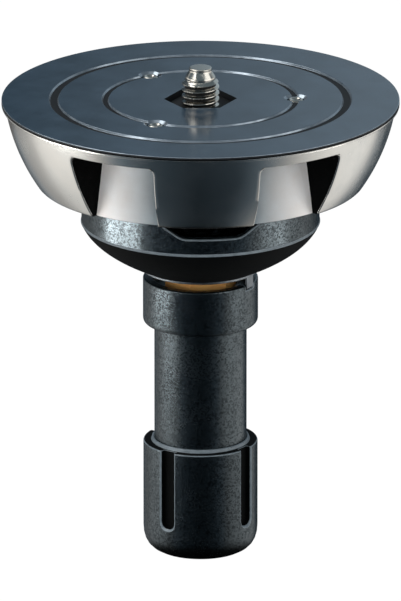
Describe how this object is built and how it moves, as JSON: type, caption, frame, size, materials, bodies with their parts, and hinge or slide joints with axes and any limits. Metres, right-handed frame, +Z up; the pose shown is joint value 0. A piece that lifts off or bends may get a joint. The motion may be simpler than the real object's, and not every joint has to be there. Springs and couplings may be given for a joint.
{
  "type": "tripod bowl adapter",
  "caption": "Half-ball tripod bowl adapter: flat plate with a head stud on an aluminium half ball, clamped from below by a screw-down cup and a long grip knob.",
  "frame": {"origin": "centre of the half ball's sphere, on the axis, 6.8 mm above the face plate's top", "axes": "+Z up along the axis and out of the stud, -Y to the side that the picture shows, +X to its right"},
  "size_m": [0.1004, 0.1004, 0.1277],
  "materials": {
    "polished_aluminium": "polished",
    "dark_plate": "dark satin anodised",
    "bright_steel": "nickel plated",
    "zinc_steel": "zinc plated",
    "brass": "machined",
    "black_nylon": "finely textured moulding"
  },
  "bodies": {
    "ball": {"half_ball": "polished_aluminium", "face_plate": "dark_plate", "head_stud": "bright_steel", "plate_screw_1": "zinc_steel", "plate_screw_2": "zinc_steel", "plate_screw_3": "zinc_steel", "tie_rod": "zinc_steel", "rod_lock_washer": "zinc_steel", "rod_lock_nut": "zinc_steel", "rod_stop_washer": "zinc_steel", "rod_stop_pin": "zinc_steel"},
    "cup": {"clamp_cup": "black_nylon"},
    "knob": {"thrust_washer": "bright_steel", "brass_nut": "brass", "knob_body": "black_nylon", "grip_sleeve": "black_nylon", "end_plug": "black_nylon"},
    "lock_1": {"lock_screw_1": "bright_steel"},
    "lock_2": {"lock_screw_2": "bright_steel"},
    "lock_3": {"lock_screw_3": "bright_steel"}
  },
  "joints": [
    {"name": "cup_drop", "type": "slide", "parent": "ball", "child": "cup", "axis": [0, 0, -1], "range_m": [0, 0.024]},
    {"name": "knob_turn", "type": "hinge", "parent": "cup", "child": "knob", "pos_m": [0, 0, -0.0536], "axis": [0, 0, -1], "range_deg": [0, 5760]},
    {"name": "lock_1_rise", "type": "slide", "parent": "ball", "child": "lock_1", "axis": [0, 0, 1], "range_m": [0, 0.002]},
    {"name": "lock_2_rise", "type": "slide", "parent": "ball", "child": "lock_2", "axis": [0, 0, 1], "range_m": [0, 0.002]},
    {"name": "lock_3_rise", "type": "slide", "parent": "ball", "child": "lock_3", "axis": [0, 0, 1], "range_m": [0, 0.002]}
  ],
  "couplings": [
    {"joint": "cup_drop", "follows": "knob_turn", "m_per_rad": 0.00023873}
  ]
}
